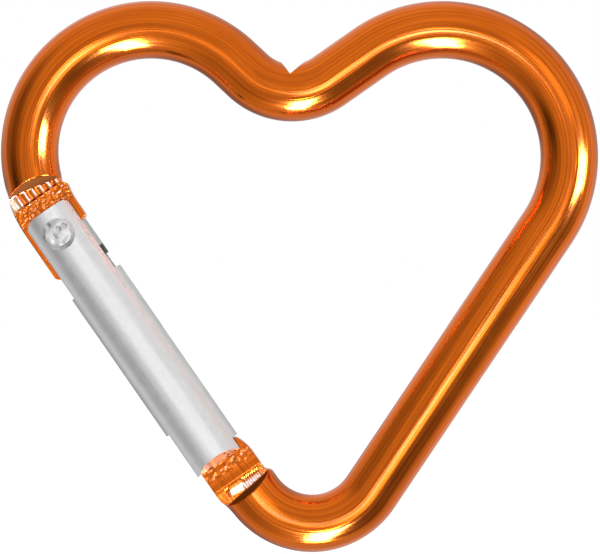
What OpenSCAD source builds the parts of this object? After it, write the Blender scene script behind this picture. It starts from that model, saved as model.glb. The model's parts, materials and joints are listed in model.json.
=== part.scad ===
// Heart-shaped key carabiner: one bent rod with two coined tangs, and a sprung gate on a riveted hinge.
// X runs across the heart and Z up through its notch. The front looks along -Y. The origin is the centre.

/* [Heart] */
// outside width across both lobes
heart_w = 62.3; // [50:0.1:80]
// outside height from the lobe tops to the tip
heart_h = 57.5; // [46:0.1:72]
// diameter of the bent rod
rod_d = 6; // [4.5:0.1:7.5]

/* [Bends, along the rod's centreline] */
// slope of the rod between the hinge lobe and the notch, in degrees
left_slope = 43.1; // [38:0.1:48]
// slope of the rod between the notch and the other lobe, in degrees
right_slope = 35; // [30:0.1:45]
// bend radius of the notch
notch_r = 6.72; // [5:0.01:8]
// drop from the lobe tops to the bottom of the notch
notch_drop = 6.57; // [6:0.01:9]
// distance of the notch to the left of the heart's middle
notch_shift = 0.78; // [0:0.01:2]
// bend radius of the tip
tip_r = 7.39; // [5:0.01:10]
// distance of the tip to the right of the heart's middle
tip_shift = 1.3; // [0:0.05:3]
// depth of the crease pinched into the notch
crease_depth = 1.15; // [0.3:0.05:1.6]

/* [Tangs] */
// thickness of both coined tangs
tang_t = 2.5; // [2:0.1:3.2]
// how far the tangs stand proud of the gate's round
tang_proud = 0.1; // [0:0.05:0.3]
// length of the outer lip past the pivot
lip_l = 4; // [3:0.1:5]
// length of the tongue inside the gate's nose
tongue_l = 4.6; // [3:0.1:6]

/* [Gate] */
// diameter of the gate
gate_d = 6.24; // [5:0.02:7.6]
// length of the gate behind the pivot
gate_back = 2.8; // [2.2:0.1:4]
// distance from the gate's nose to the middle of the tip bend, along the gate
nose_back = 4.7; // [4:0.05:6]
// how far the gate's axis lies inside the hinge lobe's centreline
gate_in = 0.17; // [0:0.01:0.4]
// how far the gate's axis lies outside the tip bend's centreline
gate_out = 1.01; // [0.5:0.01:1.5]
// length of the hinge slot on the outer side, past the pivot
hinge_slot_l = 6.3; // [5:0.1:8]
// length of the hinge slot on the inner side, past the pivot
key_slot_l = 6.05; // [5:0.05:8]
// width of the slot on the inner side
key_slot_w = 3.6; // [3:0.1:4]
// length of the nose slot
nose_slot_l = 5.3; // [4:0.1:7]
// thickness left over the nose slot
web_t = 0.9; // [0.6:0.05:1.4]
// play between a tang and each side of its slot
slot_play = 0.2; // [0.1:0.05:0.4]
// depth of the bevel on each side of the nose
bevel = 1.35; // [0.5:0.05:1.6]

/* [Pivot] */
// distance from the middle of the hinge lobe to the pivot, along the gate
pivot_run = 1.8; // [1:0.1:3]
// diameter of the rivet
rivet_d = 2; // [1.6:0.1:2.6]
// how far the rivet's head spreads beyond its shank
head_spread = 0.55; // [0.3:0.05:0.8]
// running clearance of the rivet in its tang
rivet_play = 0.06; // [0.02:0.01:0.1]

/* [Spring] */
// diameter of the spring chamber
bore_d = 3.6; // [3:0.1:4.2]
// depth of the spring chamber past the pivot
bore_l = 16; // [14:0.5:20]
// diameter of the spring's wire
wire_d = 0.45; // [0.3:0.05:0.6]
// turns of the spring
turns = 8; // [5:1:10]
// running clearance of the follower in the chamber
follower_play = 0.08; // [0.02:0.01:0.1]
// gap between the follower's key and the horn at rest
key_gap = 0.1; // [0.05:0.05:0.3]

/* [Hidden] */
$fn = 64;
hair = 0.01;
lap = 0.2;
rod_r = rod_d / 2;
gate_r = gate_d / 2;
half = heart_w / 2 - rod_r;
top = heart_h / 2 - rod_r;

// bend radius of a lobe that fills width w beside the notch and leaves it at the slope a
function lobe(w, a) = (w - notch_r * sin(a) - (notch_drop - notch_r * (1 - cos(a))) / tan(a))
    / (1 + sin(a) - (1 - cos(a)) / tan(a));
left_r = lobe(half - notch_shift, left_slope);
right_r = lobe(half + notch_shift, right_slope);

// bend centres, as [x, z]
left_c = [left_r - half, top - left_r];
right_c = [half - right_r, top - right_r];
notch_c = [-notch_shift, top - notch_drop + notch_r];
tip_c = [tip_shift, tip_r - top];

// heading of the line that leaves bend a and meets bend b, each with a radius signed by its turn
function heading(a, ra, b, rb) = atan2(b[1] - a[1], b[0] - a[0]) - asin((rb - ra) / norm(b - a));
function way(angle) = [cos(angle), sin(angle)];

left_exit = heading(left_c, -left_r, notch_c, notch_r);
right_entry = heading(notch_c, notch_r, right_c, -right_r);
right_exit = heading(right_c, -right_r, tip_c, -tip_r);
gate_angle = heading(left_c, left_r - gate_in, tip_c, tip_r + gate_out);

// pivot and nose of the gate
pivot = left_c + left_r * way(gate_angle - 90) + pivot_run * way(gate_angle);
nose_x = (tip_c - pivot) * way(gate_angle) - nose_back;
gate_l = gate_back + nose_x;
tang_low = gate_in - gate_r - tang_proud;
tang_high = gate_in + gate_r + tang_proud;
slot_w = tang_t + 2 * slot_play;
rivet_r = rivet_d / 2;
eye_r = rivet_r + 1;
head_r = rivet_r + head_spread;
cheek_low = sqrt(gate_r * gate_r - slot_w * slot_w / 4);
cheek_high = sqrt(gate_r * gate_r - key_slot_w * key_slot_w / 4);
face = tang_t / 2;

// hinge shoulder on its lobe and nose shoulder on the tip bend
hinge_shoulder = [-0.92 * rod_d, 0.3];
nose_shoulder = [0.65 * rod_d, 1];
hinge_stop = asin((0.7 * rod_d - pivot_run) / left_r);
nose_stop = asin((nose_back - 0.64 * rod_d) / (tip_r - rod_r));

// tongue and horn at the nose, measured from the middle of the gate's nose
tongue_low = 0.77 - gate_r;
tongue_high = gate_r - web_t - 0.05;
horn_high = gate_r + tang_proud + 0.22;
horn_back = 1.2;
horn_r = 5;

// follower and spring
key_x = key_gap;
key_low = eye_r + 0.1;
key_end = lip_l + 0.25;
follower_x = lip_l + 0.55;
neck_x = key_end - 0.7;
follower_end = key_slot_l + 1.9;
coil_r = bore_d / 2 - 0.15 - wire_d / 2;
pitch = (bore_l - follower_end - wire_d - 0.04) / turns;

// axes: x along the gate to its nose, y into the heart, z to the front
module at_pivot() {
    translate([pivot[0], 0, pivot[1]])
        rotate([90, 0, 0])
            rotate([0, 0, gate_angle])
                children();
}

module at_nose() {
    at_pivot()
        translate([nose_x, gate_in, 0])
            children();
}

module plate(thickness) {
    linear_extrude(thickness, center = true)
        children();
}

// bend of the rod about centre c, turned from one angle to another
module bend(c, r, from, to) {
    translate([c[0], 0, c[1]])
        rotate([90, 0, 0])
            rotate([0, 0, from])
                rotate_extrude(angle = to - from)
                    translate([r, 0])
                        circle(d = rod_d);
}

// straight stretch of the rod between bends a and b, at their common heading; a hair thinner, so it
// reaches into each bend without touching its skin
module run(a, ra, b, rb, angle) {
    start = a + ra * way(angle - 90);
    end = b + rb * way(angle - 90);
    translate([start[0], 0, start[1]])
        rotate([0, 90 - angle, 0])
            translate([0, 0, -lap])
                cylinder(d = rod_d - 2 * hair, h = norm(end - start) + 2 * lap);
}

module rod() {
    bend(left_c, left_r, left_exit + 90, gate_angle + 270 - hinge_stop);
    run(left_c, -left_r, notch_c, notch_r, left_exit);
    bend(notch_c, notch_r, left_exit - 90, right_entry - 90);
    run(notch_c, notch_r, right_c, -right_r, right_entry);
    bend(right_c, right_r, right_exit + 90, right_entry + 90);
    run(right_c, -right_r, tip_c, -tip_r, right_exit);
    bend(tip_c, tip_r, gate_angle - 90 - nose_stop, right_exit + 90);
}

// wedge that coins both faces of a rod end, with its foot at x = 0 and reaching to +x
module coin(reach, slope) {
    for (side = [0, 1])
        mirror([0, 0, side])
            rotate([90, 0, 0])
                linear_extrude(3 * rod_d, center = true)
                    polygon([[0, face - hair], [-slope, rod_r + 1], [reach, rod_r + 1], [reach, face - hair]]);
}

module hinge_tang() {
    plate(tang_t) {
        circle(r = eye_r);
        polygon([[-0.88 * rod_d, tang_low + 0.7], [-0.75 * rod_d, tang_low], [0, tang_low], [0, tang_high - 0.5],
            [-0.5, tang_high], [-0.8 * rod_d, tang_high], [-0.88 * rod_d, tang_high - 0.5]]);
        translate([-0.5, tang_high - 0.5])
            circle(r = 0.5);
        translate([-0.1, tang_low])
            square([lip_l - 0.5, 1.6]);
        translate([-0.1, tang_low + 0.6])
            square([lip_l + 0.1, 1]);
        translate([lip_l - 0.6, tang_low + 0.6])
            circle(r = 0.6);
    }
}

module nose_tang() {
    plate(tang_t) {
        // tongue with a round end
        translate([0.8 - tongue_l, tongue_low])
            square([tongue_l, tongue_high - tongue_low]);
        translate([-tongue_l, tongue_low + 0.8])
            square([2, tongue_high - tongue_low - 1.6]);
        for (y = [tongue_low + 0.8, tongue_high - 0.8])
            translate([0.8 - tongue_l, y])
                circle(r = 0.8);
        // shoulder plate that runs out into the rod
        polygon([[0.2, tongue_low], [0.48 * rod_d, tongue_low], [0.75 * rod_d, 1.05 - rod_r], [0.72 * rod_d, 3],
            [0.64 * rod_d, 1 + rod_r], [0.58 * rod_d, horn_high + 0.35], [0.54 * rod_d, horn_high], [1.2, horn_high], [1.2, tongue_high - 0.2], [0.2, tongue_high - 0.2]]);
        // horn over the end of the gate's web
        intersection() {
            translate([1.2, horn_high - horn_r])
                circle(r = horn_r, $fn = 128);
            translate([-horn_back, tongue_high - 1])
                square([horn_back + 1.2 + hair, horn_r]);
        }
    }
}

// pinched crease where the notch is bent tightest
module crease() {
    translate([notch_c[0] - 0.2, 0, notch_c[1] - notch_r + rod_r - crease_depth])
        rotate([90, 0, 0])
            plate(2 * rod_d)
                polygon([[0, 0], [2.9, 2.7], [-2.1, 3]]);
}

module body() {
    color([0.82, 0.38, 0.06])
        difference() {
            union() {
                difference() {
                    rod();
                    at_pivot()
                        translate([hinge_shoulder[0], hinge_shoulder[1], 0])
                            rotate([0, 0, -11])
                                coin(6, 0.9);
                    at_nose()
                        translate([nose_shoulder[0], nose_shoulder[1], 0])
                            rotate([0, 180, 7])
                                coin(3, 0.6);
                }
                at_pivot()
                    hinge_tang();
                at_nose()
                    nose_tang();
            }
            at_pivot()
                cylinder(r = rivet_r + rivet_play, h = 2 * rod_d, center = true);
            crease();
        }
}

module gate_blank() {
    intersection() {
        translate([-gate_back, 0, 0])
            rotate([0, 90, 0])
                cylinder(d = gate_d, h = gate_l);
        // round corners at the hinge end, in the face seen from the front
        plate(2 * gate_d) {
            translate([1.2 - gate_back, -gate_d])
                square([gate_l, gate_d]);
            translate([0.8 - gate_back, -0.1])
                square([gate_l, gate_d]);
            translate([-gate_back, 1.2 - cheek_low])
                square([2, cheek_low + cheek_high - 2]);
            translate([1.3 - gate_back, 1.2 - cheek_low])
                circle(r = 1.3);
            translate([0.9 - gate_back, cheek_high - 0.8])
                circle(r = 0.9);
        }
    }
}

module gate() {
    color([0.78, 0.78, 0.79])
        at_pivot()
            difference() {
                translate([0, gate_in, 0])
                    difference() {
                        gate_blank();
                        // spring chamber
                        rotate([0, 90, 0])
                            cylinder(d = bore_d, h = bore_l);
                        // hinge slot, right across
                        translate([-gate_back - 1, -gate_d, -slot_w / 2])
                            cube([gate_back + 1 + hinge_slot_l, gate_d, slot_w]);
                        translate([-gate_back - 1, -hair, -slot_w / 2])
                            cube([gate_back + 1 + key_slot_l, gate_d, slot_w]);
                        // wider slot for the follower's key
                        translate([-gate_back - 1, 1.8, -key_slot_w / 2])
                            cube([gate_back + 1 + key_slot_l, gate_d, key_slot_w]);
                        // nose slot, open on the outer side
                        translate([nose_x - nose_slot_l, -gate_d, -slot_w / 2])
                            cube([nose_slot_l + 1, gate_d + gate_r - web_t, slot_w]);
                        // end of the web, cut back for the horn
                        translate([nose_x - horn_back - 0.15, gate_r - web_t - 0.3, -key_slot_w / 2])
                            cube([3, gate_d, key_slot_w]);
                        // bevels on both sides of the nose
                        for (side = [0, 1])
                            mirror([0, 0, side])
                                translate([nose_x, 0, gate_r - bevel])
                                    rotate([0, -30, 0])
                                        translate([0, -gate_d, 0])
                                            cube([3, 2 * gate_d, 3]);
                    }
                // rivet hole with a seat for each head
                cylinder(r = rivet_r, h = 2 * gate_d, center = true);
                for (side = [0, 1])
                    mirror([0, 0, side])
                        translate([0, 0, gate_r - 0.45])
                            cylinder(r = head_r + 0.1, h = gate_d);
            }
}

module rivet() {
    color([0.72, 0.72, 0.74])
        at_pivot()
            difference() {
                rotate_extrude()
                    polygon([[0, -gate_r - 0.14], [head_r - 0.2, -gate_r - 0.14], [head_r, -gate_r + 0.06],
                        [head_r, 0.45 - gate_r], [rivet_r, 0.45 - gate_r], [rivet_r, gate_r - 0.45],
                        [head_r, gate_r - 0.45], [head_r, gate_r - 0.06], [head_r - 0.2, gate_r + 0.14],
                        [0, gate_r + 0.14]]);
                // crater left in each head by the peening tool
                for (side = [-1, 1])
                    translate([0, 0, side * (gate_r + 1)])
                        sphere(r = 1.15);
            }
}

module follower() {
    color([0.62, 0.62, 0.64])
        at_pivot()
            translate([0, gate_in, 0]) {
                // head, and a half neck that clears the lip
                difference() {
                    translate([neck_x, 0, 0])
                        rotate([0, 90, 0])
                            cylinder(d = bore_d - 2 * follower_play, h = follower_end - neck_x);
                    translate([neck_x - 1, -gate_r, -gate_r])
                        cube([1 + follower_x - neck_x, gate_r, gate_d]);
                }
                // key that rides in the inner slot and bears on the horn
                intersection() {
                    rotate([0, 90, 0])
                        cylinder(r = gate_r - 0.22, h = 2 * key_end);
                    translate([key_x, key_low - gate_in, 0.2 - key_slot_w / 2])
                        cube([key_end - key_x, gate_d, key_slot_w - 0.4]);
                }
                // rib between the key and the neck
                translate([neck_x, 0.5, -tang_t / 2])
                    cube([key_end - neck_x, key_low - 0.5, tang_t]);
            }
}

// half turn of wire that climbs along z from y = -r to y = +r
module half_turn(rise) {
    tilt = asin(rise / 2 / coil_r);
    translate([0, 0, rise / 2])
        rotate([tilt, 0, 0])
            rotate([0, 0, -90])
                rotate_extrude(angle = 180)
                    translate([coil_r, 0])
                        circle(d = wire_d, $fn = 24);
}

module turn(rise) {
    half_turn(rise / 2);
    translate([0, 0, rise / 2])
        rotate([0, 0, 180])
            half_turn(rise / 2);
}

module spring() {
    color([0.45, 0.45, 0.47])
        at_pivot()
            translate([follower_end + 0.02 + wire_d / 2, gate_in, 0])
                rotate([0, 90, 0])
                    for (i = [0:turns - 1])
                        translate([0, 0, i * pitch])
                            turn(pitch);
}

body();
gate();
rivet();
follower();
spring();
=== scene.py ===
import json
import math

import bmesh
import bpy
from mathutils import Matrix, Quaternion, Vector, noise


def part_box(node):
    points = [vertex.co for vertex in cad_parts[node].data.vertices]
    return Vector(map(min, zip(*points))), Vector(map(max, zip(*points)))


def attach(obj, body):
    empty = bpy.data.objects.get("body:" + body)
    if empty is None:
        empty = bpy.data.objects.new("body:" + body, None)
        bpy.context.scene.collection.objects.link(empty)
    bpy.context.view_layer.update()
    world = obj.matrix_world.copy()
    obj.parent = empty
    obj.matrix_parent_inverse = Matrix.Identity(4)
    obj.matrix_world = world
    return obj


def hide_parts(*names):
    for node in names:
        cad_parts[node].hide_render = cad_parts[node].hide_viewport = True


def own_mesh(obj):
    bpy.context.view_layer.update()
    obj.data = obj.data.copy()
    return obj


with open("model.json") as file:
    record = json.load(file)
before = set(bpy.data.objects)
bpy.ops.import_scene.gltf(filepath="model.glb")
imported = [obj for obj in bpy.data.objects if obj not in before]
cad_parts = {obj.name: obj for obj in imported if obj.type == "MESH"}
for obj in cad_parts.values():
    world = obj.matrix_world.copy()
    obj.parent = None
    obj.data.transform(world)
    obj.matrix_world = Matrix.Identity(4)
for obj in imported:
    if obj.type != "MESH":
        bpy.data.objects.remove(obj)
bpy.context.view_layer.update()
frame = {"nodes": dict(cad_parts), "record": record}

mm = 0.001

# places taken from the frame; lengths below are in millimetres until a mesh is made
bodyLow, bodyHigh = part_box("body")
joints = {joint["name"]: joint for joint in frame["record"]["behaviour"]["joints"]}
pivot = Vector(joints["gate_hinge"]["pos_m"]) / mm
along = Vector(joints["follower_slide"]["axis"]).normalized()      # from the hinge to the gate's nose
inward = Vector((-along.z, 0, along.x))                            # from the gate into the heart
gateAngle = math.degrees(math.atan2(along.z, along.x))
print("frame loaded, gate at", round(gateAngle, 2), "degrees")

heart = {
    "rodRadius": 3.0,
    "leftSlope": 43.1,
    "rightSlope": 35.0,
    "notchRadius": 6.72,
    "notchDrop": 6.57,
    "notchShift": 0.78,
    "tipRadius": 7.39,
    "tipShift": 1.3,
    "pivotRun": 1.8,                     # lobe's end to the pivot
    "gateIn": 0.17,                      # gate's axis inside the pivot's line
    "noseBack": 4.7,                     # gate's nose to the tip's middle
    "lipEnd": 4.0,
    "tongueEnd": -4.6,
    "hingeTurn": 34,                     # degrees of each bend that belong to a tang
    "noseTurn": 9,
    "eyeSpan": 0.3,                      # half the run through the eye, drawn in short steps
    "creaseLeft": 1.42,                  # slopes of the pinched crease
    "creaseRight": 0.94,
    "creaseDepth": 1.15,
    "creaseShift": -0.2,
    "creaseReach": 5,
    "creaseSoft": 0.12,
    "edgeSoft": 0.14,                    # rounding where a flat meets the round
    "squareness": 0.909,                 # how far the flats' points spread to the edges
    "rodStep": 0.42,
    "fineStep": 0.07,
    "rodRing": 80,
    "tangRing": 240,
}

# places along a tang are from the pivot or the gate's nose, heights are from the gate's axis
hingeTang = {
    "half": 1.25,                        # half thickness
    "low": -3.05,
    "high": 3.39,
    "shoulder": -5.52,
    "shoulderLean": 0.194,
    "shoulderBow": 0.16,
    "shoulderMiddle": 0.3,
    "rampSlope": 2.3,
    "rampSoft": 0.12,
    "ribEnd": -4.42,
    "ribSpacing": 0.88,
    "ribPlace": 1.1,
    "ribDepth": 0.13,
    "ribLean": 0.09,
    "facetEdge": -1.75,
    "facetSlope": 0.04,
    "pitEnd": -2.7,
    "pitDepth": 0.055,
    "pitSize": 0.27,
    "pitSink": 0.04,
    "rimHigh": (-4.7, -5.4, 0.5),        # from, to and depth of the narrowing towards the rod
    "rimLow": (-4.4, -5.4, 0.15),
    "rodBlend": (-5.2, -6.3),
    "hornRound": 0.5,
    "eyeRadius": 2.0,
    "eyeEnd": 1.4,
    "holeRadius": 1.06,
    "lipTop": -1.45,
    "lipRound": 0.6,
    "lipHook": 0.2,
}

noseTang = {
    "low": -2.35,
    "high": 3.44,
    "hornRadius": 5.0,
    "hornFoot": 1.2,
    "hornEnd": -1.2,
    "tongueHigh": 2.17,
    "tongueRound": 0.8,
    "shoulder": 3.9,
    "shoulderLean": -0.123,
    "rampSlope": 3.2,
    "rodBlend": (2.9, 5.3),
    "highBlend": (3.1, 3.9),
    "flatBlend": (3.5, 4.4),
    "pitEnd": 1.35,
    "pitDepth": 0.032,
    "faceLean": 0.05,
    "ridgePlace": 2.35,
    "ridgeWidth": 0.30,
    "ridgeHeight": 0.09,
    "ribStart": 2.78,
    "ribSpacing": 0.26,
    "ribDepth": 0.035,
    "ribLow": 0.68,
    "ribHigh": 2.75,
    "facetLow": -0.84,
    "facetSlope": 0.10,
    "facetStart": 3.0,
    "facetMiddle": 3.35,
    "scoreLow": -1.4,                    # fine score lines below the facet
    "scoreHigh": -0.8,
    "scoreDepth": 0.03,
    "scoreSpacing": 0.22,
}


def way(angle):
    return Vector((math.cos(math.radians(angle)), 0, math.sin(math.radians(angle))))


def lobeRadius(width, slope):            # bend radius that fills a width beside the notch
    a = math.radians(slope)
    notch = heart["notchRadius"]
    rise = heart["notchDrop"] - notch * (1 - math.cos(a))
    spare = width - notch * math.sin(a) - rise / math.tan(a)
    return spare / (1 + math.sin(a) - (1 - math.cos(a)) / math.tan(a))


def headingBetween(a, radiusA, b, radiusB):
    gap = b - a
    return math.degrees(math.atan2(gap.z, gap.x) - math.asin((radiusB - radiusA) / gap.length))


halfWidth = (bodyHigh.x - bodyLow.x) / 2 / mm - heart["rodRadius"]
halfHeight = (bodyHigh.z - bodyLow.z) / 2 / mm - heart["rodRadius"]
leftRadius = lobeRadius(halfWidth - heart["notchShift"], heart["leftSlope"])
rightRadius = lobeRadius(halfWidth + heart["notchShift"], heart["rightSlope"])
leftMiddle = Vector((leftRadius - halfWidth, 0, halfHeight - leftRadius))
rightMiddle = Vector((halfWidth - rightRadius, 0, halfHeight - rightRadius))
notchMiddle = Vector((-heart["notchShift"], 0, halfHeight - heart["notchDrop"] + heart["notchRadius"]))
tipMiddle = Vector((heart["tipShift"], 0, heart["tipRadius"] - halfHeight))
noseAlong = (tipMiddle - pivot).dot(along) - heart["noseBack"]


def smooth(low, high, value):
    x = min(max((value - low) / (high - low), 0), 1)       # high may lie below low
    return x * x * (3 - 2 * x)


def softMin(a, b, blend):
    h = max(blend - abs(a - b), 0) / blend
    return min(a, b) - h * h * blend / 4


def softMax(a, b, blend):
    return -softMin(-a, -b, blend)


def rough(x, y, seed):                   # smooth noise between -1 and 1
    return noise.noise(Vector((x, y, seed)))


def heartRoute():                        # stations as (place, heading, length, kind)
    stations = []
    travelled = 0.0

    def straight(start, heading, length, step, kind):
        nonlocal travelled
        count = max(int(math.ceil(length / step)), 1)
        for i in range(count):
            place = start + way(heading) * length * i / count
            stations.append((place, heading, travelled + length * i / count, kind))
        travelled += length

    def bend(middle, radius, start, end, step, kind):      # clockwise where end is less than start
        nonlocal travelled
        turn = math.radians(abs(end - start))
        count = max(int(math.ceil(radius * turn / step)), 1)
        side = 90 if end < start else -90
        for i in range(count):
            heading = start + (end - start) * i / count
            place = middle + way(heading + side) * radius
            stations.append((place, heading, travelled + radius * turn * i / count, kind))
        travelled += radius * turn

    back = gateAngle + 180
    leftExit = headingBetween(leftMiddle, -leftRadius, notchMiddle, heart["notchRadius"])
    rightEntry = headingBetween(notchMiddle, heart["notchRadius"], rightMiddle, -rightRadius)
    rightExit = headingBetween(rightMiddle, -rightRadius, tipMiddle, -heart["tipRadius"])
    rodEnd = back - 360 + heart["noseTurn"]
    tangStart = back - heart["hingeTurn"]
    eyeSpan = heart["eyeSpan"]

    # hinge tang, from its lip through the eye and into the left lobe
    straight(pivot + along * heart["lipEnd"], back, heart["lipEnd"] - eyeSpan, 0.1, "hinge")
    straight(pivot + along * eyeSpan, back, 2 * eyeSpan, 0.05, "hinge")
    straight(pivot - along * eyeSpan, back, heart["pivotRun"] - eyeSpan, 0.25, "hinge")
    bend(leftMiddle, leftRadius, back, tangStart, heart["fineStep"], "hinge")
    bend(leftMiddle, leftRadius, tangStart, leftExit, heart["rodStep"], "rod")

    # down into the notch and up again
    start = leftMiddle + way(leftExit + 90) * leftRadius
    end = notchMiddle + way(leftExit - 90) * heart["notchRadius"]
    straight(start, leftExit, (end - start).length, heart["rodStep"], "rod")
    bend(notchMiddle, heart["notchRadius"], leftExit, rightEntry, 0.09, "rod")
    start = notchMiddle + way(rightEntry - 90) * heart["notchRadius"]
    end = rightMiddle + way(rightEntry + 90) * rightRadius
    straight(start, rightEntry, (end - start).length, heart["rodStep"], "rod")

    # right lobe, long run and tip
    bend(rightMiddle, rightRadius, rightEntry, rightExit, heart["rodStep"], "rod")
    start = rightMiddle + way(rightExit + 90) * rightRadius
    end = tipMiddle + way(rightExit + 90) * heart["tipRadius"]
    straight(start, rightExit, (end - start).length, 0.6, "rod")
    bend(tipMiddle, heart["tipRadius"], rightExit, rodEnd, 0.25, "rod")

    # nose tang and the tongue inside the gate
    bend(tipMiddle, heart["tipRadius"], rodEnd, back - 360, heart["fineStep"], "nose")
    start = tipMiddle + way(back + 90) * heart["tipRadius"]
    length = heart["noseBack"] + 0.3
    straight(start, back, length, heart["fineStep"], "nose")
    start += way(back) * length
    length = -heart["tongueEnd"] - 0.3
    straight(start, back, length, 0.15, "nose")
    stations.append((start + way(back) * length, back, travelled, "nose"))
    return stations


def hingeHalf(s, t):                     # half thickness of the coined end, the ramp's painted shade, rubbed metal with painted highlight
    part = hingeTang
    bow = 1 - (t / heart["rodRadius"]) ** 2
    foot = part["shoulder"] + part["shoulderLean"] * (t - part["shoulderMiddle"]) - part["shoulderBow"] * bow
    half = part["half"]

    # pressed ribs beside the ramp, with a flat facet at the outer edge
    ribs = smooth(part["ribEnd"], part["ribEnd"] - 0.25, s) * smooth(foot - 0.05, foot + 0.15, s)
    wave = 0.5 + 0.5 * math.cos(2 * math.pi * (t - part["ribPlace"]) / part["ribSpacing"])
    uneven = 0.7 + 0.5 * rough(t * 0.9, s * 0.4, 3.1)
    half -= ribs * part["ribDepth"] * uneven * (1 - wave ** 0.8)
    half -= ribs * part["facetSlope"] * max(part["facetEdge"] - t, 0)
    half -= ribs * part["ribLean"] * (s - foot)

    # pitted band between the ribs and the gate
    pits = smooth(part["ribEnd"] - 0.1, part["ribEnd"] + 0.15, s)
    pits *= 1 - smooth(part["pitEnd"], part["pitEnd"] + 0.3, s)
    size = part["pitSize"]
    coarse = rough(s / size, t / size, 0.7)
    fine = rough(s * 2.1 / size, t * 2.1 / size, 5.2)
    half += pits * part["pitDepth"] * (coarse + 0.6 * fine)
    half -= part["pitSink"] * pits

    # ramp masks the painted shade that darkens the steep ramp
    ramp = smooth(foot + 0.15, foot - 0.1, s)
    # rib crests, the facet and the pits get a painted highlight, which also stands for rubbed metal
    strength = 0.55 + 0.9 * rough(t * 1.3, s * 1.1, 8.8)
    facet = smooth(part["facetEdge"] + 0.1, part["facetEdge"] - 0.15, t)
    rubbedAndHighlight = ribs * (wave ** 5 * strength + facet)
    rubbedAndHighlight += pits * 0.5 * smooth(0.25, 0.6, rough(s / 0.2, t / 0.33, 6.1))
    rise = part["half"] + part["rampSlope"] * (foot - s)
    return softMax(half, rise, part["rampSoft"]), ramp, rubbedAndHighlight


def noseHalf(x, y):                      # the same for the nose, x from the gate's nose, y from its axis
    part = noseTang
    foot = part["shoulder"] + part["shoulderLean"] * (y - 1)
    half = hingeTang["half"]
    pits = smooth(0.0, 0.2, x) * (1 - smooth(part["pitEnd"] - 0.3, part["pitEnd"], x))
    half += pits * part["pitDepth"] * (rough(x * 2.4, y * 2.6, 9.3) + 0.7 * rough(x * 3.2, y * 7.5, 2.4))
    half -= part["faceLean"] * max(part["ridgePlace"] - x, 0)
    half += part["ridgeHeight"] * math.exp(-(((x - part["ridgePlace"]) / part["ridgeWidth"]) ** 2))

    # fine ribs, a facet beside them and score lines below it
    ribs = smooth(part["ribStart"] - 0.15, part["ribStart"] + 0.1, x)
    ribs *= smooth(part["ribLow"] - 0.1, part["ribLow"] + 0.1, y)
    ribs *= 1 - smooth(part["ribHigh"], part["ribHigh"] + 0.2, y)
    half -= ribs * part["ribDepth"] * (1 - math.cos(2 * math.pi * y / part["ribSpacing"]))
    facet = smooth(part["facetLow"] - 0.15, part["facetLow"] + 0.1, y)
    facet *= 1 - smooth(part["ribLow"] - 0.1, part["ribLow"], y)
    half -= facet * part["facetSlope"] * max(x - part["facetStart"], 0)
    scores = smooth(part["scoreLow"], part["scoreLow"] + 0.2, y)
    scores *= (1 - smooth(part["scoreHigh"] - 0.15, part["scoreHigh"], y)) * smooth(2.6, 2.8, x)
    half -= scores * part["scoreDepth"] * (1 - math.cos(2 * math.pi * y / part["scoreSpacing"]))

    # ramp masks the painted shade that darkens the steep ramp
    ramp = smooth(foot - 0.1, foot + 0.1, x)
    # rib crests, a patch on the facet and the pits get a painted highlight, which also stands for rubbed
    # metal
    crests = (0.5 + 0.5 * math.cos(2 * math.pi * y / part["ribSpacing"])) ** 0.7
    rubbedAndHighlight = ribs * smooth(part["facetStart"], part["facetStart"] + 0.3, x) * crests
    facet *= smooth(part["facetStart"] - 0.05, part["facetStart"] + 0.15, x)
    rubbedAndHighlight += facet * smooth(0.5, 0.2, abs(x - part["facetMiddle"] - 0.12 * y))
    rubbedAndHighlight *= 1 - ramp
    rubbedAndHighlight += pits * 0.15 * smooth(0.2, 0.6, rough(x * 3, y * 5, 6.1))
    rise = hingeTang["half"] + part["rampSlope"] * (x - foot)
    return softMax(half, rise, hingeTang["rampSoft"]), ramp, rubbedAndHighlight


def hingeLimits(s):                      # lower and upper edge of the hinge tang, and how flat it is
    part = hingeTang
    start, end, depth = part["rimHigh"]
    high = part["high"] - depth * smooth(start, end, s)
    start, end, depth = part["rimLow"]
    low = part["low"] + depth * smooth(start, end, s)
    if s > -part["hornRound"]:
        reach = min(max(s + part["hornRound"], 0), part["hornRound"])
        high = part["high"] - part["hornRound"] + math.sqrt(max(part["hornRound"] ** 2 - reach ** 2, 0))
    if s > 0:
        eye = math.sqrt(max(part["eyeRadius"] ** 2 - s * s, 0))
        high = max(eye, part["lipTop"]) if s < part["eyeEnd"] else part["lipTop"]
    if s > heart["lipEnd"] - part["lipRound"]:
        reach = min(s - heart["lipEnd"] + part["lipRound"], part["lipRound"] * 0.98)
        drop = part["lipRound"] - math.sqrt(part["lipRound"] ** 2 - reach ** 2)
        low += 0.6 * drop + part["lipHook"] * smooth(0, 1, reach / part["lipRound"])
        high -= drop
    rod = smooth(*part["rodBlend"], s)
    radius = heart["rodRadius"]
    return low * (1 - rod) - radius * rod, high * (1 - rod) + radius * rod, 1 - rod


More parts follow.
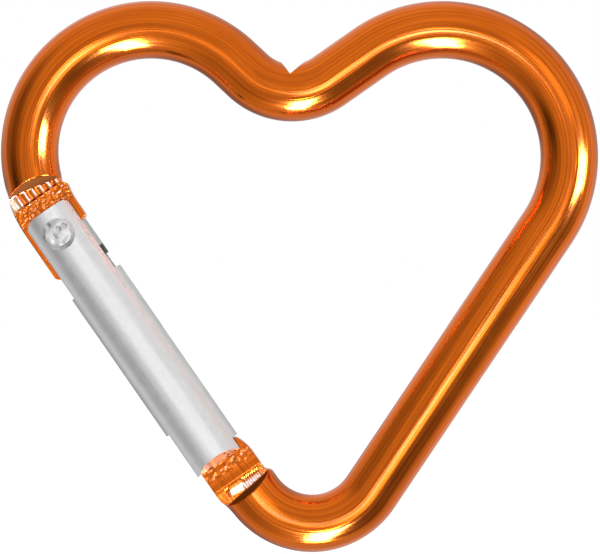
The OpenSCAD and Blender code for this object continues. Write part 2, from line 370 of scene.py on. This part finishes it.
def noseLimits(x, offset):               # the same for the nose tang, offset from the gate's axis
    part = noseTang
    high = part["high"]
    if x < part["hornFoot"]:
        reach = part["hornFoot"] - max(x, part["hornEnd"])
        high = part["high"] - part["hornRadius"] + math.sqrt(part["hornRadius"] ** 2 - reach ** 2)
    if x < part["hornEnd"]:
        high = part["tongueHigh"]
    low = part["low"]
    corner = part["tongueRound"]
    end = heart["tongueEnd"]
    if x < end + corner:
        reach = min(end + corner - x, corner - 0.01)
        drop = corner - math.sqrt(corner * corner - reach * reach)
        low += drop
        high -= drop
    rod = smooth(*part["rodBlend"], x)
    shoulder = smooth(*part["highBlend"], x)
    radius = heart["rodRadius"]
    low = (low - offset) * (1 - rod) - radius * rod
    high = (high - offset) * (1 - shoulder) + radius * shoulder
    return low, high, 1 - smooth(*part["flatBlend"], x)


def creaseTop(x):                        # highest the rod may reach at the pinched crease
    apex = notchMiddle.x + heart["creaseShift"]
    floor = notchMiddle.z - heart["notchRadius"] + heart["rodRadius"] - heart["creaseDepth"]
    slope = heart["creaseLeft"] if x < apex else heart["creaseRight"]
    return floor + slope * abs(x - apex)


def ringAt(station):                     # points round the rod as (point, painted shade of a ramp, rubbed metal with painted highlight)
    place, heading, length, kind = station
    side = Vector((math.sin(math.radians(heading)), 0, -math.cos(math.radians(heading))))
    count = heart["rodRing"] if kind == "rod" else heart["tangRing"]
    radius = heart["rodRadius"]
    s = (place - pivot).dot(along)
    low, high, flat = -radius, radius, 0
    if kind == "hinge":
        low, high, flat = hingeLimits(s)
    if kind == "nose":
        low, high, flat = noseLimits(s - noseAlong, (place - pivot).dot(inward) - heart["gateIn"])
    ring = []
    for i in range(count):
        turn = 2 * math.pi * i / count
        across = math.cos(turn)
        squared = math.copysign(softMin(abs(across) / heart["squareness"], 1, 0.05), across)
        width = (low + high) / 2 + (high - low) / 2 * (across * (1 - flat) + squared * flat)
        point = place + side * width
        depth = radius * abs(math.sin(turn))
        shaded = 0.0
        worn = 0.0
        if kind != "rod":
            s = (point - pivot).dot(along)
            t = (point - pivot).dot(inward)
            if kind == "hinge":
                half, ramp, rubbedAndHighlight = hingeHalf(s, t)
            else:
                half, ramp, rubbedAndHighlight = noseHalf(s - noseAlong, t - heart["gateIn"])
            cut = smooth(0.02, -0.12, half - depth)
            # shaded carries the ramp's painted shade, worn the rubbed metal with its painted highlight
            shaded = ramp * cut
            worn = rubbedAndHighlight * cut
            depth = softMin(depth, half, heart["edgeSoft"])
        elif abs(point.x - notchMiddle.x) < heart["creaseReach"]:
            point.z = softMin(point.z, creaseTop(point.x), heart["creaseSoft"])
        ring.append((Vector((point.x, math.copysign(depth, -math.sin(turn)), point.z)) * mm, shaded, worn))
    return ring


def finishMesh(mesh, limit=38):          # outward faces, smooth shading with crisp edges
    work = bmesh.new()
    work.from_mesh(mesh)
    bmesh.ops.remove_doubles(work, verts=work.verts, dist=1e-7)
    bmesh.ops.recalc_face_normals(work, faces=work.faces)
    for face in work.faces:
        face.smooth = True
    for edge in work.edges:
        edge.smooth = edge.calc_face_angle(0) < math.radians(limit)
    work.to_mesh(mesh)
    work.free()
    mesh.update()


def newPiece(name, mesh):
    piece = bpy.data.objects.new(name, mesh)
    bpy.context.scene.collection.objects.link(piece)
    return piece


def applyModifiers(piece):               # makes the piece's modifiers part of its mesh
    view = piece.evaluated_get(bpy.context.evaluated_depsgraph_get())
    mesh = bpy.data.meshes.new_from_object(view)
    piece.modifiers.clear()
    piece.data = mesh


def makeRod():
    stations = heartRoute()
    work = bmesh.new()
    uv = work.loops.layers.uv.new("route")
    # per point: the ramps' painted shade and the rubbed metal's painted highlight
    paintedRampShade = work.verts.layers.float.new("paintedRampShade")
    rubbingAndHighlight = work.verts.layers.float.new("rubbingAndHighlight")
    rings = []
    for station in stations:
        ring = []
        for point, shaded, worn in ringAt(station):
            ring.append(work.verts.new(point))
            ring[-1][paintedRampShade] = shaded
            ring[-1][rubbingAndHighlight] = min(worn, 1)
        rings.append(ring)
    lengths = [station[2] for station in stations]

    def addFace(corners, marks):
        face = work.faces.new(corners)
        for loop, mark in zip(face.loops, marks):
            loop[uv].uv = (mark[0] / 100, mark[1])

    for k in range(len(rings) - 1):
        near, far = rings[k], rings[k + 1]
        a, b = len(near), len(far)
        count = min(a, b)
        for i in range(count):
            nearSteps = a // count
            farSteps = b // count
            corners = [near[(i * nearSteps + n) % a] for n in range(nearSteps + 1)]
            marks = [(lengths[k], (i * nearSteps + n) / a) for n in range(nearSteps + 1)]
            corners += [far[(i * farSteps + n) % b] for n in range(farSteps, -1, -1)]
            marks += [(lengths[k + 1], (i * farSteps + n) / b) for n in range(farSteps, -1, -1)]
            addFace(corners, marks)
    for ring, length in ((rings[0], lengths[0]), (rings[-1], lengths[-1])):
        middle = work.verts.new(sum((v.co for v in ring), Vector()) / len(ring))
        for i in range(len(ring)):
            addFace([ring[i], ring[(i + 1) % len(ring)], middle], [(length, i / len(ring))] * 3)
    mesh = bpy.data.meshes.new("heartRod")
    bmesh.ops.recalc_face_normals(work, faces=work.faces)
    work.to_mesh(mesh)
    work.free()
    return newPiece("heart_rod", mesh)


def gatePlace(x, y, z):                  # gate's own x, y, z to the frame, in metres
    point = pivot + along * x + inward * y
    return Vector((point.x, -z, point.z)) * mm


def drillEye(rod):
    tool = bmesh.new()
    count = 64
    radius = hingeTang["holeRadius"]
    rims = []
    for z in (-heart["rodRadius"], heart["rodRadius"]):
        rim = []
        for i in range(count):
            turn = 2 * math.pi * i / count
            rim.append(tool.verts.new(gatePlace(radius * math.cos(turn), radius * math.sin(turn), z)))
        rims.append(rim)
    for i in range(count):
        tool.faces.new([rims[0][i], rims[0][(i + 1) % count], rims[1][(i + 1) % count], rims[1][i]])
    for rim in rims:
        tool.faces.new(rim)
    bmesh.ops.recalc_face_normals(tool, faces=tool.faces)
    mesh = bpy.data.meshes.new("eyeDrill")
    tool.to_mesh(mesh)
    tool.free()
    drill = newPiece("eye_drill", mesh)
    cut = rod.modifiers.new("eye", "BOOLEAN")
    cut.operation = "DIFFERENCE"
    cut.solver = "EXACT"
    cut.object = drill
    applyModifiers(rod)
    bpy.data.objects.remove(drill)


rod = makeRod()
drillEye(rod)
finishMesh(rod.data)
print("rod swept,", len(rod.data.polygons), "faces")

gateSizes = {
    "radius": 3.12,
    "edge": 0.09,                        # broken edges
    "edgeSteps": 2,
}


def copyNode(node, name):
    source = frame["nodes"][node]
    mesh = source.data.copy()
    mesh.materials.clear()
    mesh.name = name
    return newPiece(name, mesh)


def makeGate():
    piece = copyNode("gate", "gate_bar")
    finishMesh(piece.data, 25)
    rounding = piece.modifiers.new("edges", "BEVEL")
    rounding.width = gateSizes["edge"] * mm
    rounding.segments = gateSizes["edgeSteps"]
    rounding.limit_method = "ANGLE"
    rounding.angle_limit = math.radians(35)
    rounding.harden_normals = True
    rounding.use_clamp_overlap = True
    applyModifiers(piece)
    return piece


gate = makeGate()
print("gate made,", len(gate.data.polygons), "faces")

rivetSizes = {
    "headRadius": 1.63,
    "shift": -0.05,                      # heads sit a little towards the hinge
    "shankRadius": 0.98,
    "seat": 0.42,                        # depth of a head below the gate's round
    "proud": 0.13,
    "rings": 34,
    "segments": 112,
    "crown": 0.16,
    "rimStart": 0.80,                    # share of the radius where the rim turns down
    "rimDrop": 1.2,
    "dentDepth": 0.15,
    "dents": ((-0.42, 1.02, 0.30), (-0.46, 0.27, 0.30), (-1.26, -0.42, 0.26), (0.05, -0.55, 0.34)),
    "lumps": 0.078,
    "grain": 0.0105,
}


def headHeight(x, y, side):
    part = rivetSizes
    r = math.hypot(x, y) / part["headRadius"]
    height = part["proud"] + part["crown"] * (1 - r ** 4)
    height -= part["rimDrop"] * max(r - part["rimStart"], 0) ** 1.5
    for dentX, dentY, size in part["dents"]:
        away = math.hypot(x - dentX, side * y - dentY) / size
        height -= part["dentDepth"] * math.exp(-away * away * 1.4)
    height += part["lumps"] * rough(x * 1.7 + side, y * 1.7, 4.4)
    height += part["grain"] * rough(x * 3 + side, y * 3, 1.3)
    return height


def makeRivet():
    part = rivetSizes
    count = part["segments"]
    work = bmesh.new()

    def addRing(radius, shift, heightAt, previous):
        ring = []
        for i in range(count):
            x = radius * math.cos(2 * math.pi * i / count)
            y = radius * math.sin(2 * math.pi * i / count)
            ring.append(work.verts.new(gatePlace(x + shift, y, heightAt(x, y))))
        for i in range(count):
            j = (i + 1) % count
            if len(previous) == 1:
                work.faces.new([previous[0], ring[i], ring[j]])
            else:
                work.faces.new([previous[i], ring[i], ring[j], previous[j]])
        return ring

    for side in (1, -1):
        def crown(x, y):
            return side * (gateSizes["radius"] + headHeight(x, y, side))

        def seat(x, y):
            return side * (gateSizes["radius"] - part["seat"])

        ring = [work.verts.new(gatePlace(0, 0, crown(0, 0)))]
        for k in range(1, part["rings"] + 1):
            ring = addRing(part["headRadius"] * (k / part["rings"]) ** 0.85, part["shift"], crown, ring)
        ring = addRing(part["headRadius"], part["shift"], seat, ring)
        ring = addRing(part["shankRadius"], 0, seat, ring)
        addRing(part["shankRadius"], 0, lambda x, y: 0, ring)
    mesh = bpy.data.meshes.new("peenedRivet")
    work.to_mesh(mesh)
    work.free()
    piece = newPiece("peened_rivet", mesh)
    finishMesh(mesh, 50)
    return piece


rivet = makeRivet()
print("rivet made,", len(rivet.data.polygons), "faces")

follower = copyNode("follower", "spring_follower")
finishMesh(follower.data, 30)

springSizes = {
    "turns": 8,
    "coilRadius": 1.425,
    "wireRadius": 0.22,
    "start": 8.2,                        # along the gate from the pivot
    "end": 15.75,
    "pressed": 0.788,                    # share of its length left when pressed
    "pointsPerTurn": 40,
    "wireSides": 14,
}


def makeSpring(material):
    tree = bpy.data.node_groups.new("coiledWire", "GeometryNodeTree")
    inputs = {}
    for name in ("Turns", "Coil radius", "Wire radius", "Length"):
        made = tree.interface.new_socket(name, in_out="INPUT", socket_type="NodeSocketFloat")
        inputs[name] = made.identifier
    tree.interface.new_socket("Geometry", in_out="OUTPUT", socket_type="NodeSocketGeometry")
    start = tree.nodes.new("NodeGroupInput")
    coil = tree.nodes.new("GeometryNodeCurveSpiral")
    coil.inputs["Resolution"].default_value = springSizes["pointsPerTurn"]
    tree.links.new(start.outputs["Turns"], coil.inputs["Rotations"])
    tree.links.new(start.outputs["Coil radius"], coil.inputs["Start Radius"])
    tree.links.new(start.outputs["Coil radius"], coil.inputs["End Radius"])
    tree.links.new(start.outputs["Length"], coil.inputs["Height"])
    wire = tree.nodes.new("GeometryNodeCurvePrimitiveCircle")
    wire.inputs["Resolution"].default_value = springSizes["wireSides"]
    tree.links.new(start.outputs["Wire radius"], wire.inputs["Radius"])
    sweep = tree.nodes.new("GeometryNodeCurveToMesh")
    sweep.inputs["Fill Caps"].default_value = True
    tree.links.new(coil.outputs["Curve"], sweep.inputs["Curve"])
    tree.links.new(wire.outputs["Curve"], sweep.inputs["Profile Curve"])
    real = tree.nodes.new("GeometryNodeRealizeInstances")
    tree.links.new(sweep.outputs["Mesh"], real.inputs["Geometry"])
    paint = tree.nodes.new("GeometryNodeSetMaterial")
    paint.inputs["Material"].default_value = material
    tree.links.new(real.outputs["Geometry"], paint.inputs["Geometry"])
    end = tree.nodes.new("NodeGroupOutput")
    tree.links.new(paint.outputs["Geometry"], end.inputs["Geometry"])

    piece = newPiece("return_spring", bpy.data.meshes.new("returnSpring"))
    grow = piece.modifiers.new("coil", "NODES")
    grow.node_group = tree
    grow[inputs["Turns"]] = float(springSizes["turns"])
    grow[inputs["Coil radius"]] = springSizes["coilRadius"] * mm
    grow[inputs["Wire radius"]] = springSizes["wireRadius"] * mm
    grow[inputs["Length"]] = (springSizes["end"] - springSizes["start"]) * mm
    applyModifiers(piece)
    origin = gatePlace(springSizes["start"], heart["gateIn"], 0)
    turned = Matrix((inward, Vector((0, -1, 0)), along)).transposed().to_4x4()
    piece.data.transform(Matrix.Translation(origin) @ turned)
    finishMesh(piece.data, 60)
    return piece


class Value:                             # a shader socket that takes part in expressions
    def __init__(self, tree, socket=None):
        self.tree = tree
        self.socket = socket

    def node(self, kind, settings=None, inputs=None, output=0):
        made = self.tree.nodes.new(kind)
        for name, setting in (settings or {}).items():
            setattr(made, name, setting)
        for name, value in (inputs or {}).items():
            if isinstance(value, Value):
                self.tree.links.new(value.socket, made.inputs[name])
            else:
                made.inputs[name].default_value = value
        return Value(self.tree, made.outputs[output])

    def maths(self, operation, first, second=0.0):
        return self.node("ShaderNodeMath", {"operation": operation}, {0: first, 1: second})

    def __add__(self, other):
        return self.maths("ADD", self, other)

    def __radd__(self, other):
        return self.maths("ADD", other, self)

    def __sub__(self, other):
        return self.maths("SUBTRACT", self, other)

    def __rsub__(self, other):
        return self.maths("SUBTRACT", other, self)

    def __mul__(self, other):
        return self.maths("MULTIPLY", self, other)

    def cosine(self):
        return self.maths("COSINE", self)

    def sine(self):
        return self.maths("SINE", self)

    def between(self, low, high, toLow=0.0, toHigh=1.0):
        ends = {"Value": self, "From Min": low, "From Max": high, "To Min": toLow, "To Max": toHigh}
        return self.node("ShaderNodeMapRange", {"clamp": True}, ends)

    def tint(self, first, second):       # colour from first to second as the value goes from 0 to 1
        return self.node("ShaderNodeMix", {"data_type": "RGBA"},
                         {"Factor": self, 6: first, 7: second}, 2)


def newFinish(name):
    material = bpy.data.materials.new(name)
    material.use_nodes = True
    tree = material.node_tree
    shader = tree.nodes["Principled BSDF"]
    return material, Value(tree), shader


def plug(shader, name, value):
    if isinstance(value, Value):
        value.tree.links.new(value.socket, shader.inputs[name])
    else:
        shader.inputs[name].default_value = value


def grained(values, place, scale, detail, roughness):      # a noise pattern at a place
    inputs = {"Vector": place, "Scale": scale, "Detail": detail, "Roughness": roughness}
    return values.node("ShaderNodeTexNoise", None, inputs)


def raised(values, height, distance):    # bump from a height, distance in metres
    return values.node("ShaderNodeBump", None, {"Height": height, "Distance": distance, "Strength": 1.0})


def objectPlace(values):
    return values.node("ShaderNodeTexCoord", None, None, 3)


def lengthwise(values):                  # object coordinates turned so that x runs along the gate
    inputs = {"Vector": objectPlace(values), "Rotation": (0, math.radians(gateAngle), 0)}
    return values.node("ShaderNodeMapping", {"vector_type": "POINT"}, inputs)


anodising = {
    "deep": (0.50, 0.086, 0.001, 1),
    "bright": (0.92, 0.182, 0.005, 1),
    # painted shade of the ramps, then the painted highlight's peach on rubbed metal
    "paintedRampShade": (0.14, 0.035, 0.004, 1),
    "rubbedAndHighlight": (1.0, 0.66, 0.38, 1),
    "roughness": (0.09, 0.17),
    "clouding": 0.04,                    # added roughness in the dull clouds
    "coat": 0.18,
    "coatRoughness": 0.14,
    "dieLines": (0.035, 4.2),            # stretch along the rod, count round it
    "hairLines": (0.05, 15),
    "lineHeight": 0.000040,
}


def orangeAnodising():
    part = anodising
    material, values, shader = newFinish("orangeAnodising")
    route = values.node("ShaderNodeUVMap", {"uv_map": "route"})
    parts = route.node("ShaderNodeSeparateXYZ", None, {0: route})
    turn = Value(parts.tree, parts.socket.node.outputs[1]) * (2 * math.pi)
    length = parts * 100                 # millimetres along the rod

    def drawn(lines, detail, roughness):             # lines that the die left along the rod
        stretch, count = lines
        place = {0: length * stretch, 1: turn.cosine() * count, 2: turn.sine() * count}
        return grained(values, values.node("ShaderNodeCombineXYZ", None, place), 1.0, detail, roughness)

    dieLines = drawn(part["dieLines"], 2.0, 0.55)
    hairLines = drawn(part["hairLines"], 3.0, 0.6)
    cloud = grained(values, objectPlace(values), 260.0, 4.0, 0.6)
    grain = grained(values, objectPlace(values), 5200.0, 2.0, 0.5)
    # masks of the ramps' painted shade and of the rubbed metal's painted highlight
    paintedShade = values.node("ShaderNodeAttribute", {"attribute_name": "paintedRampShade"}, None, 2)
    rubbedAndHighlight = values.node("ShaderNodeAttribute", {"attribute_name": "rubbingAndHighlight"}, None, 2)

    shade = dieLines.between(0.34, 0.62) * 0.35 + hairLines.between(0.4, 0.6) * 0.5
    shade = shade + cloud.between(0.3, 0.7) * 0.15
    # painted shade: on the ramps the colour drops to the deep orange
    colour = (shade * (1 - paintedShade)).tint(part["deep"], part["bright"])
    # painted highlight: rubbed crests, facets and pits turn peach
    plug(shader, "Base Color", rubbedAndHighlight.between(0.0, 0.8).tint(colour, part["rubbedAndHighlight"]))
    low, high = part["roughness"]
    dull = cloud.between(0.4, 0.75, 0.0, part["clouding"])
    plug(shader, "Roughness", hairLines.between(0.3, 0.7, low, high) + dull)
    plug(shader, "Metallic", 1.0)
    plug(shader, "Coat Weight", part["coat"])
    plug(shader, "Coat Roughness", part["coatRoughness"])
    height = (dieLines + hairLines * 0.42 + grain * 0.015 - 0.6) * (1 - paintedShade)
    plug(shader, "Normal", raised(values, height, part["lineHeight"]))

    # painted shade: the steep ramps of the coined ends get a dark, matt colour in place of the shade that
    # falls on them
    paintedShadeLook = {"Base Color": part["paintedRampShade"], "Roughness": 1.0, "Specular IOR Level": 0.0}
    shadow = values.node("ShaderNodeBsdfPrincipled", None, paintedShadeLook)
    metal = Value(values.tree, shader.outputs[0])
    surface = values.node("ShaderNodeMixShader", None, {0: paintedShade, 1: metal, 2: shadow})
    values.tree.links.new(surface.socket, values.tree.nodes["Material Output"].inputs["Surface"])
    return material


drawnBar = {
    "dull": (0.77, 0.77, 0.78, 1),
    "clean": (0.95, 0.95, 0.955, 1),
    "roughness": (0.32, 0.44),
    "tumbled": 0.06,                     # added roughness where the bar was tumbled
    "scratches": (70, 1500, 1500),       # along the bar, then across it
    "bands": (28, 620, 620),
    "height": 0.000016,
}


def drawnAluminium():
    part = drawnBar
    material, values, shader = newFinish("drawnAluminium")
    turned = lengthwise(values)

    def dragged(scale):
        return values.node("ShaderNodeVectorMath", {"operation": "MULTIPLY"}, {0: turned, 1: scale})

    scratches = grained(values, dragged(part["scratches"]), 2.2, 4.0, 0.65)
    bands = grained(values, dragged(part["bands"]), 1.0, 2.0, 0.5)
    tumble = grained(values, turned, 900.0, 5.0, 0.65)
    shade = bands.between(0.3, 0.7) * 0.3 + scratches.between(0.3, 0.7) * 0.2
    shade = shade + tumble.between(0.3, 0.72) * 0.5
    plug(shader, "Base Color", shade.tint(part["dull"], part["clean"]))
    low, high = part["roughness"]
    dull = tumble.between(0.4, 0.7, 0.0, part["tumbled"])
    plug(shader, "Roughness", scratches.between(0.3, 0.7, low, high) + dull)
    plug(shader, "Metallic", 1.0)
    plug(shader, "Normal", raised(values, scratches + bands * 1.6 + tumble * 0.6, part["height"]))
    return material


peenedHead = {
    "dull": (0.60, 0.60, 0.61, 1),
    "clean": (0.82, 0.82, 0.83, 1),
    "roughness": (0.28, 0.42),
    "height": 0.00001,
}


def peenedAluminium():
    part = peenedHead
    material, values, shader = newFinish("peenedAluminium")
    marks = grained(values, objectPlace(values), 1400.0, 4.0, 0.6)
    dirt = grained(values, objectPlace(values), 650.0, 3.0, 0.6)
    plug(shader, "Base Color", dirt.between(0.35, 0.65).tint(part["dull"], part["clean"]))
    plug(shader, "Roughness", marks.between(0.3, 0.7, *part["roughness"]))
    plug(shader, "Metallic", 1.0)
    plug(shader, "Normal", raised(values, marks, part["height"]))
    return material


followerFinish = {
    "worn": (0.72, 0.72, 0.73, 1),
    # near-black painted shade from the gate's slot on the follower's rear
    "paintedShade": (0.05, 0.048, 0.048, 1),
    "wornTo": 3.1,                       # where the worn front gives way to the painted shade, along the gate from the pivot
    "wornBlend": 0.2,
    "roughness": (0.25, 0.45),
    "height": 0.00001,
}


def followerSteel():                     # worn bright at its front end, painted shade of the slot behind
    part = followerFinish
    material, values, shader = newFinish("followerSteel")
    turned = lengthwise(values)
    place = values.node("ShaderNodeSeparateXYZ", None, {0: turned})
    edge = (Vector((pivot.x, 0, pivot.z)) * mm).dot(along) + part["wornTo"] * mm
    marks = grained(values, turned, 1600.0, 4.0, 0.6)
    # from the worn front to the painted shade behind it
    shade = place.between(edge, edge + part["wornBlend"] * mm) + marks.between(0.3, 0.7) * 0.2 - 0.1
    plug(shader, "Base Color", shade.tint(part["worn"], part["paintedShade"]))
    plug(shader, "Roughness", marks.between(0.3, 0.7, *part["roughness"]))
    plug(shader, "Metallic", 1.0)
    plug(shader, "Normal", raised(values, marks, part["height"]))
    return material


wireFinish = {
    "dull": (0.30, 0.30, 0.31, 1),
    "clean": (0.48, 0.48, 0.50, 1),
    "roughness": (0.24, 0.38),
    "height": 0.000006,
}


def springWire():
    part = wireFinish
    material, values, shader = newFinish("springWire")
    marks = grained(values, objectPlace(values), 2500.0, 3.0, 0.6)
    plug(shader, "Base Color", marks.between(0.3, 0.7).tint(part["dull"], part["clean"]))
    plug(shader, "Roughness", marks.between(0.3, 0.7, *part["roughness"]))
    plug(shader, "Metallic", 1.0)
    plug(shader, "Normal", raised(values, marks, part["height"]))
    return material


spring = makeSpring(springWire())
print("spring coiled,", len(spring.data.polygons), "faces")

for piece, finish, body, node, slot in (
    (rod, orangeAnodising(), "frame", "body", "anodised_rod"),
    (gate, drawnAluminium(), "gate", "gate", "bare_gate"),
    (rivet, peenedAluminium(), "gate", "rivet", "rivet_metal"),
    (follower, followerSteel(), "follower", "follower", "follower_steel"),
    (spring, None, "gate", "spring", "spring_steel"),
):
    if finish:
        piece.data.materials.clear()
        piece.data.materials.append(finish)
    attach(piece, body)
    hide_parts(node)
springAnchor = gatePlace(springSizes["end"], heart["gateIn"], 0)
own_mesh(spring)
print("finishes and bodies set")


studio = {
    "margin": 1.005,                     # view's width over the heart's
    "shift": 0.05,                       # camera right of and below the middle
    "lens": 180,
    "sensor": 36,
    "floorGap": 0.6,                     # under the tip
    "floorRadius": 1.5,                  # metres
    "floorGlow": 0.5,
    "tent": 0.72,                        # brightness of the light tent, then its brighter and darker parts
    "parts": (                           # direction, cosines where it fades in and is full, amount
        ((0, 0, 1), 0.1, 0.9, 0.14),
        ((1, 0.15, 0), 0.5, 0.95, 0.12),
        ((-1, -0.3, 0.12), 0.74, 0.95, -0.44),
        ((0.7, -0.6, -0.6), 0.7, 0.97, -0.5),
        ((-0.7, -0.4, -0.5), 0.80, 0.97, -0.26),
        ((0.17, -0.97, -0.17), 0.984, 0.993, 2.4),
        ((0.34, -0.91, 0.24), 0.988, 0.997, 1.6),
        ((-0.14, -0.985, -0.10), 0.994, 0.998, 0.9),
        ((0, 1, 0), 0.0, 0.5, 0.08),
        ((-0.45, 0.85, -0.35), 0.8, 0.97, -0.5),
        ((0.5, 0.8, 0.4), 0.8, 0.97, -0.35),
    ),
    "boxDistance": 0.40,                 # softboxes that light the rod alone, in metres
    "boxes": (                           # name, direction, size, power, colour, roll
        ("boxBelow", (0.10, -0.56, -0.82), (0.10, 0.27), 3.8, (0.6, 0.85, 2.4), 0),
        ("boxRight", (0.80, -0.60, -0.02), (0.20, 0.09), 2.5, (0.6, 0.85, 2.4), 0),
        ("stripFront", (0.09, -0.99, -0.09), (0.07, 0.07), 0.15, (0.3, 0.55, 2.2), -45),
    ),
}


def softbox(name, direction, size, power, colour, roll, pieces):
    data = bpy.data.lights.new(name, "AREA")
    data.shape = "RECTANGLE"
    data.size, data.size_y = size
    data.energy = power
    data.color = colour
    data.cycles.max_bounces = 0
    lamp = bpy.data.objects.new(name, data)
    bpy.context.scene.collection.objects.link(lamp)
    aim = Vector(direction).normalized()
    lamp.location = aim * studio["boxDistance"]
    lamp.rotation_mode = "QUATERNION"
    lamp.rotation_quaternion = aim.to_track_quat("Z", "Y") @ Quaternion((0, 0, 1), math.radians(roll))
    lamp.visible_camera = False
    lamp.light_linking.receiver_collection = pieces


def makeFloor():
    mesh = bpy.data.meshes.new("paleFloor")
    work = bmesh.new()
    bmesh.ops.create_circle(work, cap_ends=True, segments=96, radius=studio["floorRadius"])
    bmesh.ops.translate(work, verts=work.verts, vec=(0, 0, bodyLow.z - studio["floorGap"] * mm))
    work.to_mesh(mesh)
    work.free()
    floor = newPiece("pale_floor", mesh)
    material, values, shader = newFinish("paleFloorPaint")
    mottle = grained(values, objectPlace(values), 6.0, 2.0, 0.5)
    plug(shader, "Base Color", mottle.between(0.3, 0.7).tint((0.86, 0.86, 0.86, 1), (0.9, 0.9, 0.9, 1)))
    plug(shader, "Roughness", 0.9)
    plug(shader, "Emission Color", (1, 1, 1, 1))
    plug(shader, "Emission Strength", studio["floorGlow"])
    mesh.materials.append(material)
    floor.visible_glossy = False
    floor.visible_shadow = False


def makeTent():                          # the world: white to the camera, a shaped light tent to the metal
    world = bpy.data.worlds.new("lightTent")
    world.use_nodes = True
    bpy.context.scene.world = world
    tree = world.node_tree
    values = Value(tree)
    sky = values.node("ShaderNodeTexCoord", None, None, 0)
    tent = studio["tent"]
    for direction, low, high, amount in studio["parts"]:
        aim = tuple(Vector(direction).normalized())
        facing = values.node("ShaderNodeVectorMath", {"operation": "DOT_PRODUCT"}, {0: sky, 1: aim}, 1)
        tent = tent + facing.between(low, high, 0.0, amount)
    seenByCamera = values.node("ShaderNodeLightPath", None, None, 0)
    strength = seenByCamera * (1 - tent) + tent
    background = tree.nodes["Background"]
    tree.links.new(strength.socket, background.inputs["Strength"])
    background.inputs["Color"].default_value = (1, 1, 1, 1)


def makeCamera():
    width = (bodyHigh.x - bodyLow.x) * studio["margin"]
    data = bpy.data.cameras.new("frontCamera")
    data.lens = studio["lens"]
    data.sensor_width = studio["sensor"]
    data.clip_start = 0.01
    data.clip_end = 10
    camera = bpy.data.objects.new("front_camera", data)
    bpy.context.scene.collection.objects.link(camera)
    shift = studio["shift"] * mm
    camera.location = (shift, -width * studio["lens"] / studio["sensor"], -shift)
    camera.rotation_euler = (math.radians(90), 0, 0)
    bpy.context.scene.camera = camera
    bpy.context.scene.view_settings.view_transform = "Standard"


def makeStudio():
    makeFloor()
    makeTent()
    rodOnly = bpy.data.collections.new("rodOnly")
    rodOnly.objects.link(rod)
    for box in studio["boxes"]:
        softbox(*box, rodOnly)
    makeCamera()


makeStudio()
print("studio set")
